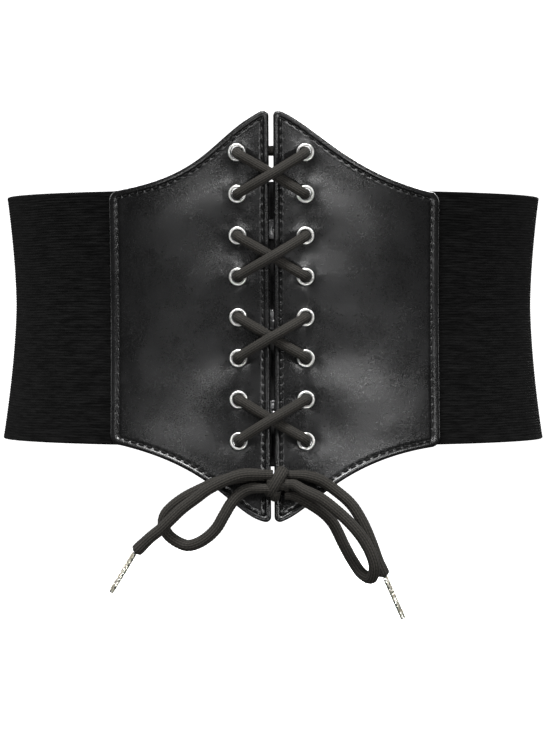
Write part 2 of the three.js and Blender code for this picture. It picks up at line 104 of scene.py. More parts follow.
SNAP_POST_RADIUS = 1.2
KNOT_RISE = 17.9
KNOT_SHIFT = 2.4
KNOT_DEPTH = 11
KNOT_BACK_WIDTH = 8

# Hollow edges of the panels: rise of the outer corner, slope at the tip in degrees, how far the edge
# keeps that slope, and where it turns level: its place across, and its rise above the outer corner
PANEL_EDGES = {
    "left": {"upper": (LEFT_OUTER_RISE, 27.7, 0.345, 0.37, 0.176),
             "lower": (LEFT_OUTER_DROP, 12.1, 0.202, 0.324, 0.267)},
    "right": {"upper": (RIGHT_OUTER_RISE, 22.5, 0.22, 0.437, 0.218),
              "lower": (RIGHT_OUTER_DROP, 20.7, 0.205, 0.385, 0.171)},
}

# Routes of the bow's free ends from the knot's middle, in mm: across, back and up
LEFT_TAIL = [
    (-5, -2.6, 4.3), (-7.2, -2.7, 4.4), (-12.4, -3.1, 4.6), (-18, -3.1, 4.2), (-23.5, -2.7, 2.4),
    (-29.1, -2, -0.2), (-34.6, -1.3, -3.3), (-39.4, -0.7, -6.9), (-46.9, 0.2, -12.6),
    (-52.2, 0.9, -17.7), (-56.8, 2, -22.2), (-62.4, 3.6, -26.8), (-69.6, 5.7, -33.8),
]
LEFT_LOOP = [
    (-5, 2.5, 1.1), (-7.2, 2.6, 1.4), (-13.6, 3, 2.4), (-22.3, 4, 1.9), (-30, 4.6, 0),
    (-39, 5.2, -3.9), (-45.8, 5.9, -7.5), (-51.4, 6.8, -11.7), (-55, 7.6, -15.8), (-56, 8.3, -20),
    (-54.4, 8, -24.6), (-50.3, 7, -28.3), (-44.3, 5.6, -30.6), (-39.6, 4.4, -29.5),
    (-34.9, 3.2, -26.7), (-30.1, 2, -21.9), (-26.6, 1.2, -15.9), (-23.3, 1, -10.3),
    (-19.4, 0.9, -5.6), (-14.3, 0, -2.7), (-8.7, -1.8, -2.4), (-5, -2.2, -2.6),
]
RIGHT_TAIL = [
    (5, 2.2, 3.7), (7.2, 2.3, 3.7), (12.6, 2.6, 3.4), (20.1, 3.2, 1.1), (26.8, 3.4, -3.4),
    (34.7, 2.4, -10.2), (40, 2, -18.3), (45, 2.4, -29.7), (48, 3, -38), (51.2, 4, -45.3),
]
RIGHT_LOOP = [
    (5.1, -2.8, -0.3), (7.2, -3.1, -0.4), (12, -4.8, -3.2), (20.1, -6, -7.1), (27.8, -6.6, -13),
    (34.5, -6.7, -19.3), (40.1, -6.4, -26.2), (44.1, -5.5, -33.6), (45.9, -3.8, -40.3),
    (44.5, 0.4, -45.9), (40.2, 5, -44.2), (35.6, 7.6, -37.9), (31.6, 8.2, -30.6),
    (28.6, 7.4, -24.3), (26.5, 6.2, -20.3), (23.5, 4.6, -16.5), (19.4, 2.8, -13),
    (15, 1.2, -10.1), (10.5, 1, -7.6), (7, 1.6, -6.2), (5, 1.7, -5.8),
]
LEFT_AGLET = [(-70, 5.85, -34.4), (-81.6, 9.1, -53.6)]
RIGHT_AGLET = [(51.4, 4.1, -45.75), (60.3, 6.5, -66)]

PANEL_TOP_Z = PANEL_CENTRE_Z + PANEL_HEIGHT / 2
PANEL_BOTTOM_Z = PANEL_CENTRE_Z - PANEL_HEIGHT / 2
EYELET_TOP_Z = PANEL_TOP_Z - EYELET_TOP_DROP
KNOT_Z = PANEL_BOTTOM_Z + KNOT_RISE
PLACKET_TOP_Z = PANEL_TOP_Z - PLACKET_TOP_DROP
PLACKET_BOTTOM_Z = PANEL_BOTTOM_Z + PLACKET_BOTTOM_RISE
SNAP_MIDDLE_Z = (PLACKET_TOP_Z + PLACKET_BOTTOM_Z) / 2 + SNAP_RISE
PANEL_BACK = BAND_THICKNESS + BAND_SEAT
PANEL_FACE = PANEL_BACK + PANEL_THICKNESS
FLARE_REACH = BAND_HEIGHT / 2 + WAIST_Z


# Waist surface

ARC_STEPS = 2880
arc_angles = np.linspace(0, math.pi, ARC_STEPS + 1)
arc_middles = (arc_angles[1:] + arc_angles[:-1]) / 2
arc_speeds = np.hypot(WAIST_HALF_WIDTH * np.cos(arc_middles), WAIST_HALF_DEPTH * np.sin(arc_middles))
arc_lengths = np.concatenate([[0], np.cumsum(arc_speeds * math.pi / ARC_STEPS)])
HALF_ROUND = arc_lengths[-1]


def angle_at(along):
    """Angle round the waist at a distance along it from the front centre, either way round."""
    along = np.asarray(along, float)
    size = np.abs(along)
    near = np.interp(np.minimum(size, HALF_ROUND), arc_lengths, arc_angles)
    far = 2 * math.pi - np.interp(2 * HALF_ROUND - size, arc_lengths, arc_angles)
    return np.sign(along) * np.where(size <= HALF_ROUND, near, far)


def flare_at(z):
    away = (np.asarray(z, float) - WAIST_Z) / FLARE_REACH
    return np.where(away > 0, FLARE_ABOVE, FLARE_BELOW) * np.abs(away) ** FLARE_POWER


def flare_slope_at(z):
    away = (np.asarray(z, float) - WAIST_Z) / FLARE_REACH
    size = np.where(away > 0, FLARE_ABOVE, FLARE_BELOW)
    return np.sign(away) * size * FLARE_POWER * np.abs(away) ** (FLARE_POWER - 1) / FLARE_REACH


def unit(ways):
    return ways / np.linalg.norm(ways, axis=-1, keepdims=True)


def normal_at(along, z):
    angle = angle_at(along)
    half_width = WAIST_HALF_WIDTH + flare_at(z)
    half_depth = WAIST_HALF_DEPTH + flare_at(z)
    s, c = np.sin(angle), np.cos(angle)
    rise = -flare_slope_at(z) * (half_width * c * c + half_depth * s * s)
    return unit(np.stack([half_depth * s, -half_width * c, rise], -1))


def surface_point(along, z, out):
    """Point in mm that stands out from the waist surface by a distance."""
    along, z, out = (np.asarray(a, float) for a in np.broadcast_arrays(along, z, out))
    angle = angle_at(along)
    half_width = WAIST_HALF_WIDTH + flare_at(z)
    half_depth = WAIST_HALF_DEPTH + flare_at(z)
    base = np.stack([half_width * np.sin(angle), -half_depth * np.cos(angle), z], -1)
    return base + normal_at(along, z) * out[..., None]


def true_along(along, z):
    return along * WAIST_HALF_WIDTH / (WAIST_HALF_WIDTH + flare_at(z))


def between_tips(z, bottom, top):
    """A value that runs evenly from the panels' lower tips to their upper tips."""
    return bottom + (top - bottom) * (np.asarray(z, float) - PANEL_BOTTOM_Z) / PANEL_HEIGHT


def gap_middle_at(z):
    return between_tips(z, GAP_SHIFT_BOTTOM, GAP_SHIFT_TOP)


def half_gap_at(z):
    return between_tips(z, GAP_BOTTOM, GAP_TOP) / 2


def panel_along(sign, across, z):
    """Place along the waist at a distance across a panel from its inner edge."""
    return true_along(gap_middle_at(z) + sign * (half_gap_at(z) + across), z)


def frame_at(along, z, out):
    """Matrix in mm with X back along the belt, Y outward and Z up the wall."""
    outward = normal_at(along, z)
    across = unit(np.cross([0, 0, 1], outward))
    place = surface_point(along, z, out)
    rows = np.eye(4)
    rows[:3] = np.stack([-across, outward, np.cross(outward, across), place], -1)
    return rows


def smooth_step(low, high, value):
    share = np.clip((value - low) / (high - low), 0, 1)
    return share * share * (3 - 2 * share)


def bell(value, width, middle=0):
    return np.exp(-((value - middle) / width) ** 2)


def edge_drop(away, radius):
    """How far a rounded edge drops, as a share of its radius, at a distance from the edge."""
    return 1 - np.sqrt(1 - np.clip(1 - away / radius, 0, 1) ** 2)


def rimmed(low, high, rim, count):
    """Places from low to high: spaced as rim says by both ends, and even between."""
    rim = np.array(rim)
    between = np.linspace(low + rim[-1], high - rim[-1], count)
    return np.concatenate([low + rim[:-1], between, high - rim[-2::-1]])


# Meshes

def grid_faces(columns, rows, closed_rows=False, closed_columns=False):
    """Quads of a grid whose vertices run row by row within each column."""
    i = np.arange(columns if closed_columns else columns - 1)
    j = np.arange(rows if closed_rows else rows - 1)
    i, j = np.meshgrid(i, j, indexing="ij")
    i, j = i.ravel(), j.ravel()
    next_i, next_j = (i + 1) % columns, (j + 1) % rows
    return np.stack([i * rows + j, next_i * rows + j, next_i * rows + next_j, i * rows + next_j], -1)


def add_object(name, data):
    made = bpy.data.objects.new(name, data)
    bpy.context.scene.collection.objects.link(made)
    return made


def add_mesh(name, points, faces, materials, face_slots=None, braid=None):
    """An object from points in mm, smooth shaded; braid gives each point's height in the braid."""
    mesh = bpy.data.meshes.new(name)
    mesh.from_pydata((np.asarray(points) * MM).tolist(), [], [list(map(int, f)) for f in faces])
    materials = materials if isinstance(materials, list) else [materials]
    for material in materials:
        mesh.materials.append(material)
    mesh.polygons.foreach_set("use_smooth", [True] * len(mesh.polygons))
    if face_slots is not None:
        mesh.polygons.foreach_set("material_index", np.asarray(face_slots, np.int32))
    if braid is not None:
        heights = mesh.attributes.new("braid", "FLOAT", "POINT").data
        heights.foreach_set("value", np.asarray(braid, np.float32))
    mesh.update()
    made = add_object(name, mesh)
    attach(made, "root")
    return made


def open_edges(quads):
    """Edges that only one quad uses, each in that quad's direction."""
    edges = {}
    for quad in quads:
        for k in range(4):
            a, b = int(quad[k]), int(quad[(k + 1) % 4])
            if (b, a) in edges:
                del edges[(b, a)]
            else:
                edges[(a, b)] = True
    return list(edges)


def closed_wall(face, back, quads, flipped=False):
    """Points and faces of a wall: its face, its back, and last a strip along each open edge."""
    total = len(face)
    rim = [[b, a, a + total, b + total] for a, b in open_edges(quads)]
    faces = np.vstack([quads, quads[:, ::-1] + total, rim])
    if flipped:
        faces = faces[:, ::-1]
    used = np.unique(faces)
    order = np.full(2 * total, -1)
    order[used] = np.arange(len(used))
    return np.vstack([face, back])[used], order[faces]


def without_holes(quads, flat, centres, radius):
    """Quads that reach into none of the round holes."""
    inside = np.zeros(len(flat), bool)
    for centre in centres:
        inside |= np.linalg.norm(flat - centre, axis=1) < radius
    return quads[~inside[quads].any(axis=1)]


def lathe(profile, sides):
    """A closed profile of (radius, height) turned about Y, as points and quads."""
    profile = np.asarray(profile, float)
    angles = np.linspace(0, 2 * math.pi, sides, endpoint=False)
    radius, height = profile[:, 0], profile[:, 1]
    points = np.stack([
        np.cos(angles)[:, None] * radius, np.broadcast_to(height, (sides, len(profile))),
        np.sin(angles)[:, None] * radius,
    ], -1).reshape(-1, 3)
    return points, grid_faces(sides, len(profile), closed_rows=True, closed_columns=True)


def placed(points, matrix):
    return points @ matrix[:3, :3].T + matrix[:3, 3]


def mix(first, second, low, high, at):
    """From the first to the second as at goes from low to high."""
    return (high - at) / (high - low) * first + (at - low) / (high - low) * second


def spline_through(points, step):
    """Even points on a centripetal Catmull-Rom curve, as the part's source draws it."""
    points = np.asarray(points, float)
    whole = np.vstack([2 * points[0] - points[1], points, 2 * points[-1] - points[-2]])
    made = []
    for i in range(1, len(whole) - 2):
        p0, p1, p2, p3 = whole[i - 1:i + 3]
        spans = np.linalg.norm(np.diff(whole[i - 1:i + 3], axis=0), axis=1) ** 0.5
        t0, t1, t2, t3 = np.concatenate([[0], np.cumsum(np.maximum(spans, 1e-4))])
        count = max(4, int(np.linalg.norm(p2 - p1) / step * 3))
        t = np.linspace(t1, t2, count, endpoint=False)[:, None]
        a1, a2, a3 = mix(p0, p1, t0, t1, t), mix(p1, p2, t1, t2, t), mix(p2, p3, t2, t3, t)
        b1, b2 = mix(a1, a2, t0, t2, t), mix(a2, a3, t1, t3, t)
        made.append(mix(b1, b2, t1, t2, t))
    made.append(points[-1:])
    return even_points(np.vstack(made), step)


def lengths_along(line):
    return np.concatenate([[0], np.cumsum(np.linalg.norm(np.diff(line, axis=0), axis=1))])


def even_points(line, step):
    lengths = lengths_along(line)
    count = max(2, int(round(lengths[-1] / step)) + 1)
    at = np.linspace(0, lengths[-1], count)
    return np.stack([np.interp(at, lengths, line[:, k]) for k in range(3)], -1)


def line_length(line):
    return float(lengths_along(line)[-1])


def tangents_of(line):
    return unit(np.gradient(line, axis=0))


def carried_frames(line):
    """Two directions across a line at each of its points, carried along without twist."""
    tangents = tangents_of(line)
    first = np.cross(tangents[0], [0, 1, 0])
    if np.linalg.norm(first) < 0.1:
        first = np.cross(tangents[0], [1, 0, 0])
    side = unit(first)
    sides = []
    for tangent in tangents:
        side = unit(side - tangent * side.dot(tangent))
        sides.append(side)
    sides = np.array(sides)
    return sides, np.cross(tangents, sides)


# Camera

def add_camera():
    focal = (CAMERA_DISTANCE - FRONT_DEPTH) / FRONT_SCALE
    data = bpy.data.cameras.new("camera")
    data.sensor_fit = "HORIZONTAL"
    data.sensor_width = SENSOR
    data.lens = focal * SENSOR / PHOTO_WIDTH
    data.clip_end = CLIP_END
    camera = add_object("camera", data)
    camera.location = (0, -CAMERA_DISTANCE * MM, 0)
    pitch = math.atan((PHOTO_HEIGHT / 2 - HORIZON_ROW) / focal)
    yaw = math.atan((PHOTO_WIDTH / 2 - MIDDLE_COLUMN) / focal)
    camera.rotation_euler = (math.pi / 2 - pitch, 0, -yaw)
    bpy.context.scene.camera = camera


add_camera()


# Materials

# Two tones of each material, in linear light
LEATHER_TONES = ((0.0018, 0.0018, 0.0019, 1), (0.004, 0.004, 0.0042, 1))
LEATHER_RUB = (0.01, 0.01, 0.0105, 1)
LINING_TONES = ((0.006, 0.006, 0.006, 1), (0.013, 0.013, 0.013, 1))
ELASTIC_TONES = ((0.0006, 0.0006, 0.0006, 1), (0.0058, 0.0058, 0.0058, 1))
LACE_TONES = ((0.016, 0.0145, 0.0125, 1), (0.025, 0.0228, 0.02, 1))
LACE_FIBRE = (0.048, 0.0445, 0.038, 1)
# Painted shade: near-black colour laid into the grooves between the lace's plaits
LACE_GROOVE_SHADE = (0.003, 0.0027, 0.0022, 1)
THREAD_TONES = ((0.002, 0.002, 0.002, 1), (0.007, 0.007, 0.007, 1))
NICKEL_TONES = ((0.8, 0.79, 0.77, 1), (0.92, 0.91, 0.89, 1))
# Gunmetal of the snaps; the same dark metal also lines the eyelets' barrels as painted shade
GUNMETAL_AND_SHADE_TONES = ((0.14, 0.14, 0.143, 1), (0.36, 0.36, 0.365, 1))
AGLET_TONES = ((0.8, 0.78, 0.71, 1), (0.34, 0.31, 0.24, 1))
STAGE_TONES = ((0.9, 0.9, 0.9, 1), (0.93, 0.93, 0.93, 1))


class Shader:
    """A node material, built with short calls."""

    def __init__(self, name):
        self.material = bpy.data.materials.new(name)
        self.material.use_nodes = True
        self.tree = self.material.node_tree
        self.principled = self.tree.nodes["Principled BSDF"]
        self.place = self.tree.nodes.new("ShaderNodeTexCoord").outputs["Object"]

    def feed(self, socket, value):
        if isinstance(value, bpy.types.NodeSocket):
            self.tree.links.new(value, socket)
        else:
            socket.default_value = value

    def set(self, **values):
        for name, value in values.items():
            self.feed(self.principled.inputs[name.replace("_", " ")], value)
        return self.material

    def node(self, kind, inputs=(), **settings):
        made = self.tree.nodes.new(kind)
        for name, value in settings.items():
            setattr(made, name, value)
        for name, value in dict(inputs).items():
            self.feed(made.inputs[name], value)
        return made

    def scaled(self, scale):
        return self.node("ShaderNodeMapping", {"Vector": self.place, "Scale": scale}).outputs[0]

    def noise(self, scale, detail=4, roughness=0.55, vector=None):
        return self.node("ShaderNodeTexNoise", {
            "Vector": vector or self.place, "Scale": scale, "Detail": detail, "Roughness": roughness,
        }).outputs["Fac"]

    def cells(self, scale, vector=None, feature="DISTANCE_TO_EDGE"):
        return self.node("ShaderNodeTexVoronoi", {
            "Vector": vector or self.place, "Scale": scale,
        }, feature=feature).outputs["Distance"]

    def ramp(self, value, low, high, low_out=0.0, high_out=1.0):
        return self.node("ShaderNodeMapRange", {
            "Value": value, "From Min": low, "From Max": high, "To Min": low_out, "To Max": high_out,
        }).outputs[0]

    def math(self, operation, a, b):
        return self.node("ShaderNodeMath", {0: a, 1: b}, operation=operation).outputs[0]

    def blend(self, share, first, second):
        return self.node("ShaderNodeMix", {0: share, 6: first, 7: second}, data_type="RGBA").outputs[2]

    def bump(self, height, strength, distance, normal=None):
        inputs = {"Height": height, "Strength": strength, "Distance": distance}
        if normal:
            inputs["Normal"] = normal
        return self.node("ShaderNodeBump", inputs).outputs[0]


def leather_material():
    shader = Shader("black_leather")
    tone = shader.ramp(shader.noise(30, 5), 0.35, 0.7)
    rub = shader.ramp(shader.noise(150, 4), 0.52, 0.75)
    colour = shader.blend(tone, *LEATHER_TONES)
    shader.set(Base_Color=shader.blend(shader.math("MULTIPLY", rub, 0.4), colour, LEATHER_RUB))
    grain = shader.ramp(shader.noise(1250, 3, 0.6), 0.3, 0.7, -0.035, 0.035)
    gloss = shader.ramp(shader.noise(60, 4), 0.3, 0.7, 0.26, 0.31)
    shader.set(Roughness=shader.math("ADD", gloss, grain))
    normal = shader.bump(shader.noise(95, 3, 0.5), 0.5, 0.0002)
    normal = shader.bump(shader.noise(620, 3, 0.5), 0.5, 0.0001, normal)
    normal = shader.bump(shader.ramp(shader.cells(1500), 0.0, 0.3), 0.4, 0.00004, normal)
    normal = shader.bump(shader.noise(3200, 2), 0.3, 0.00002, normal)
    return shader.set(Normal=normal, Specular_IOR_Level=0.5)


def lining_material():
    shader = Shader("black_lining")
    threads = shader.noise(900, 2, vector=shader.scaled((1, 1, 3)))
    shader.set(Base_Color=shader.blend(threads, *LINING_TONES))
    shader.set(Roughness=shader.ramp(shader.noise(90), 0.3, 0.7, 0.8, 0.95))
    return shader.set(Normal=shader.bump(threads, 0.5, 0.0002), Specular_IOR_Level=0.25)


def elastic_material():
    shader = Shader("black_elastic")
    streaks = shader.noise(320, 5, 0.7, vector=shader.scaled((0.3, 0.3, 2.6)))
    knit = shader.noise(2100, 2, vector=shader.scaled((1.4, 1.4, 0.5)))
    shader.set(Base_Color=shader.blend(shader.ramp(streaks, 0.4, 0.7), *ELASTIC_TONES))
    shader.set(Roughness=shader.ramp(knit, 0.3, 0.7, 0.75, 0.95))
    normal = shader.bump(streaks, 0.6, 0.0004)
    shader.set(Normal=shader.bump(knit, 0.45, 0.00016, normal))
    return shader.set(Specular_IOR_Level=0.05, Sheen_Weight=0.004, Sheen_Roughness=0.4)


def lace_material():
    shader = Shader("charcoal_lace")
    fibres = shader.noise(1500, 4, 0.7)
    worn = shader.noise(110, 3)
    braid = shader.node("ShaderNodeAttribute", {}, attribute_name="braid").outputs["Fac"]
    base = shader.blend(shader.ramp(worn, 0.35, 0.7), *LACE_TONES)
    base = shader.blend(shader.ramp(fibres, 0.35, 0.75), base, LACE_FIBRE)
    # Painted shade: the lace darkens where its braid sinks, between the plaits
    shader.set(Base_Color=shader.blend(shader.ramp(braid, 0.1, 0.8), LACE_GROOVE_SHADE, base))
    shader.set(Roughness=shader.ramp(fibres, 0.3, 0.7, 0.72, 0.9))
    shader.set(Normal=shader.bump(fibres, 0.6, 0.0003))
    return shader.set(Specular_IOR_Level=0.2, Sheen_Weight=0.02, Sheen_Roughness=0.5)


def thread_material():
    shader = Shader("black_thread")
    twist = shader.noise(2600, 2)
    shader.set(Base_Color=shader.blend(twist, *THREAD_TONES))
    shader.set(Normal=shader.bump(twist, 0.4, 0.0001))
    return shader.set(Roughness=0.6, Specular_IOR_Level=0.15)


def plated_material(name, tones, wear_scale, gloss, bump):
    """A metal of varied tone and gloss; gloss gives the least and most roughness."""
    shader = Shader(name)
    shader.set(Base_Color=shader.blend(shader.noise(wear_scale, 4), *tones))
    shader.set(Roughness=shader.ramp(shader.noise(900, 3), 0.3, 0.7, *gloss))
    shader.set(Normal=shader.bump(shader.noise(1800, 2), bump, 0.00005))
    return shader.set(Metallic=1.0)


def aglet_material():
    shader = Shader("crimped_metal")
    patches = shader.ramp(shader.cells(900, shader.scaled((1, 1, 0.6)), "F1"), 0.3, 0.75)
    shader.set(Base_Color=shader.blend(patches, *AGLET_TONES))
    shader.set(Roughness=shader.ramp(patches, 0, 1, 0.2, 0.45))
    shader.set(Normal=shader.bump(patches, 0.6, 0.0003))
    return shader.set(Metallic=1.0)


leather = leather_material()
lining = lining_material()
elastic = elastic_material()
lace = lace_material()
thread = thread_material()
nickel = plated_material("bright_nickel", NICKEL_TONES, 420, (0.3, 0.42), 0.1)
gunmetal_and_barrel_shade = plated_material("gunmetal_and_painted_shade", GUNMETAL_AND_SHADE_TONES, 380, (0.22, 0.4), 0.15)
crimped = aglet_material()


# Braided lace

PLAITS = 14
PLAIT_STITCH = 1.7
PLAIT_SLANT = 0.9
BRAID_DEPTH = 0.26
TUBE_SIDES = 56
TUBE_STEP = 0.42


def braid_height(around, along):
    """Height from 0 to 1 of a round braid, at a share of a turn and a distance along the lace."""
    plait = around * PLAITS
    across = plait - np.floor(plait)
    lean = np.where(np.floor(plait) % 2 == 0, across, 1 - across)
    stitch = along / PLAIT_STITCH + lean * PLAIT_SLANT
    ridge = np.sin(np.pi * across) ** 0.8
    return ridge * (0.72 + 0.28 * np.sin(2 * np.pi * stitch))


def capped_tube(rings, start, end):
    """Points and faces of a closed tube: its rings of points, and the middles of its two ends."""
    steps, sides = rings.shape[:2]
    faces = grid_faces(steps, sides, closed_rows=True)[:, ::-1].tolist()
    middle, last = steps * sides, (steps - 1) * sides
    for j in range(sides):
        k = (j + 1) % sides
        faces.append([middle, j, k])
        faces.append([middle + 1, last + k, last + j])
    return np.vstack([rings.reshape(-1, 3), start, end]), faces


def braided(line, half_width, half_depth, wide, deep, share=1):
    """Points, faces and braid heights of a braided lace; wide and deep are its ways at each point."""
    along = lengths_along(line)
    around = np.linspace(0, 1, TUBE_SIDES, endpoint=False)
    height = braid_height(around[None, :], along[:, None])
    sunk = BRAID_DEPTH * (1 - height)
    across = np.cos(2 * np.pi * around) * (half_width - sunk) * share
    depth = np.sin(2 * np.pi * around) * (half_depth - sunk) * share
    rings = line[:, None] + across[..., None] * wide[:, None] + depth[..., None] * deep[:, None]
    points, faces = capped_tube(rings, line[0], line[-1])
    return points, faces, np.concatenate([height.ravel(), [0, 0]])


def braided_tube(line, diameter, radius_share=None):
    """A round braided lace along a line of even points."""
    along = lengths_along(line)
    share = radius_share(along, along[-1])[:, None] if radius_share else 1
    return braided(line, diameter / 2, diameter / 2, *carried_frames(line), share)


def strand(line, half_width, half_depth, width_way):
    """A flattened braided lace along a line of even points; width_way is its wide direction."""
    tangents = tangents_of(line)
    wide = unit(width_way - tangents * (tangents @ width_way)[:, None])
    half_width = np.broadcast_to(half_width, len(line))[:, None]
    return braided(line, half_width, half_depth, wide, np.cross(tangents, wide))


# Height of the lace's middle over a panel's face, in front of it and behind it
FRONT_RUN = SEAT + EYELET_CROWN + SEAT + LACE_DIAMETER / 2
BACK_RUN = PANEL_THICKNESS + SEAT + 0.9 * EYELET_CROWN + SEAT + LACE_DIAMETER / 2
BEND_DEGREES = (0, 22.5, 45, 67.5, 90)

# Places of a run's points between its two holes, as shares of its length
FRONT_SHARES = (0.28, 0.5, 0.72)
BACK_SHARES = (0.5,)
BAR_SHARES = (0.3, 0.5, 0.7)

# The last run down to the knot: shares of its way inward and of its way down
END_SHARES = ((0, 0.42), (0.14, 0.72), (0.5, 0.94), (0.8, 1), (1, 1))


def eyelet_z(row):
    return EYELET_TOP_Z - row * EYELET_PITCH


def lacing_hole(sign, row):
    z = eyelet_z(row)
    along = float(panel_along(sign, EYELET_INSET, z))
    centre = surface_point(along, z, PANEL_FACE)
    return {"along": along, "z": z, "centre": centre, "outward": normal_at(along, z)}


def lace_bend(hole, toward, is_front):
    """Quarter turn from a hole's axis toward another point, on the front or the back."""
    level = FRONT_RUN if is_front else -BACK_RUN
    outward = hole["outward"] * (1 if is_front else -1)
    way = toward - hole["centre"]
    way = unit(way - outward * way.dot(outward))
    start = hole["centre"] + hole["outward"] * level - outward * LACE_BEND
    points = []
    for degrees in BEND_DEGREES:
        angle = math.radians(degrees)
        points.append(start + outward * LACE_BEND * math.sin(angle)
                      + way * LACE_BEND * (1 - math.cos(angle)))
    return points


def lace_run(start, end, is_front, shares, lift):
    level = FRONT_RUN if is_front else -BACK_RUN
    points = lace_bend(start, end["centre"], is_front)
    for share in shares:
        height = level + (lift - level) * math.sin(math.pi * share) ** 2
        along = start["along"] + (end["along"] - start["along"]) * share
        z = start["z"] + (end["z"] - start["z"]) * share
        points.append(surface_point(along, z, PANEL_FACE + height))
    return points + lace_bend(end, start["centre"], is_front)[::-1]


def lace_end(hole):
    sign = math.copysign(1, hole["along"])
    below = surface_point(hole["along"], hole["z"] - EYELET_PITCH, PANEL_FACE)
    points = lace_bend(hole, below, False)
    inner = sign * (KNOT_BACK_WIDTH / 2 + SEAT)
    for in_share, down_share in END_SHARES:
        along = hole["along"] + (inner - hole["along"]) * in_share
        z = hole["z"] + (KNOT_Z - hole["z"]) * down_share
        points.append(surface_point(along, z, PANEL_FACE - BACK_RUN))
    return points


def lace_half(start_sign):
    under_lift = SEAT + LACE_DIAMETER / 2
    over_lift = under_lift + LACE_DIAMETER + SEAT
    points = []
    sign = start_sign
    for row in range(0, EYELET_ROWS, 2):
        upper, lower = lacing_hole(sign, row), lacing_hole(-sign, row + 1)
        lift = over_lift if sign > 0 else under_lift
        points += lace_run(upper, lower, True, FRONT_SHARES, lift)
        sign = -sign
        if row + 2 < EYELET_ROWS:
            points += lace_run(lower, lacing_hole(sign, row + 2), False, BACK_SHARES, -BACK_RUN)
        else:
            points += lace_end(lower)
    return points


def add_lacing():
    bar = lace_run(lacing_hole(-1, 0), lacing_hole(1, 0), False, BAR_SHARES, -BACK_RUN)
    line = spline_through(lace_half(-1)[::-1] + bar + lace_half(1), TUBE_STEP)
    points, faces, braid = braided_tube(line, LACE_DIAMETER)
    made = add_mesh("braided_lacing", points, faces, lace, braid=braid)
    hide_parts("lacing")


add_lacing()


# Bow

knot_centre = surface_point(KNOT_SHIFT, KNOT_Z, PANEL_FACE + SEAT + KNOT_DEPTH / 2)
KNOT_REACH = 2.2
PINCH_LENGTH = 1.4
KNOT_SQUEEZE = 0.2
SQUEEZE_LENGTH = 15
END_SPREAD = 0.09
SPREAD_PLACE = 3.2
SPREAD_WIDTH = 3


def squeeze(from_knot):
    """The knot squeezes the lace that comes out of it."""
    return 1 - KNOT_SQUEEZE * smooth_step(SQUEEZE_LENGTH, 0, from_knot)


def tail_radius(along, length):
    """The cut end of the lace spreads a little and is then pinched into its tip."""
    rest = length - along
    spread = squeeze(along) + END_SPREAD * bell(rest, SPREAD_WIDTH, SPREAD_PLACE)
    return spread * (0.5 + 0.5 * smooth_step(0, PINCH_LENGTH, rest) ** 0.6)


def loop_radius(along, length):
    return squeeze(np.minimum(along, length - along))


def inside_knot(point):
    """Where a lace that leaves the knot at a point lies inside it."""
    return point - np.array([math.copysign(KNOT_REACH, point[0]), 0, 0])


def add_loose_lace(name, route, node, radius_share, comes_back):
    route = [np.array(p, float) for p in route]
    ends = [inside_knot(route[-1])] if comes_back else []
    line = spline_through([inside_knot(route[0])] + route + ends, TUBE_STEP) + knot_centre
    points, faces, braid = braided_tube(line, LOOSE_LACE_DIAMETER, radius_share)
    made = add_mesh(name, points, faces, lace, braid=braid)
    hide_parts(node)
    return made, line


AGLET_STEPS = 90
AGLET_SIDES = 32
AGLET_HOLLOW = 0.6
CRIMP_ROWS = 7
CRIMP_HEIGHT = 0.09
AGLET_SEAM_DEPTH = 0.16


def add_aglet(name, ends, node):
    """A metal tip: a rolled sheath with crimped rows, open at its far end."""
    start, end = np.array(ends[0], float) + knot_centre, np.array(ends[1], float) + knot_centre
    length = np.linalg.norm(end - start)
    share = np.linspace(0, 1, AGLET_STEPS)[:, None]
    angle = np.linspace(0, 2 * np.pi, AGLET_SIDES, endpoint=False)[None, :]
    radius = AGLET_RADIUS * (1 - 0.08 * smooth_step(0.93, 1, share) - 0.1 * smooth_step(0.05, 0, share))
    crimps = CRIMP_HEIGHT * np.cos(2 * np.pi * (share * CRIMP_ROWS + angle / np.pi)) ** 3
    seam = AGLET_SEAM_DEPTH * bell(angle, 0.16, np.pi)
    radius = radius + crimps * smooth_step(0.04, 0.1, share) - seam
    level = np.broadcast_to(share * length, radius.shape)
    rings = np.stack([np.cos(angle) * radius, level, np.sin(angle) * radius], -1)
    points, faces = capped_tube(rings, [0, 0, 0], [0, length - AGLET_HOLLOW, 0])
    faces = [face[::-1] for face in faces]
    way = Vector((end - start) / length)
    turn = np.array(Vector((0, 1, 0)).rotation_difference(way).to_matrix())
    made = add_mesh(name, points @ turn.T + start, faces, crimped)
    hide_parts(node)
    return made


def add_bow():
    aglets = {"left": add_aglet("left_aglet", LEFT_AGLET, "aglet_left"),
              "right": add_aglet("right_aglet", RIGHT_AGLET, "aglet_right")}
    for side, route in (("left", LEFT_TAIL), ("right", RIGHT_TAIL)):
        made, line = add_loose_lace(f"braided_tail_{side}", route, f"bow_tail_{side}", tail_radius, False)
    for side, route in (("left", LEFT_LOOP), ("right", RIGHT_LOOP)):
        made, line = add_loose_lace(f"braided_loop_{side}", route, f"bow_loop_{side}", loop_radius, True)


add_bow()


def joined(parts):
    """Points and faces of several meshes as one."""
    faces, offset = [], 0
    for part in parts:
        faces += [[i + offset for i in face] for face in part[1]]
        offset += len(part[0])
    return np.vstack([part[0] for part in parts]), faces


KNOT_TILT_DEG = 27
WRAP_HALF_LENGTH = 6.4
WRAP_HALF_DEPTH = 3.7
WRAP_HALF_WIDTH = 3.1
WRAP_HALF_THICKNESS = 1.9
WRAP_SHIFT = 1.7
WRAP_DRIFT = 0.9
WRAP_TURN = (-38, 245)
CORE_HALF_WIDTH = 3.6
CORE_HALF_DEPTH = 3.2
CORE_NARROWING = 0.9
NECK_HALF_WIDTH = 2.3
NECK_NARROWING = 1.5
NECK_HALF_DEPTH = 2.1
NECK_SINK = 3
BIGHT_HALF_HEIGHT = 3.2
BIGHT_SINK = 2.4

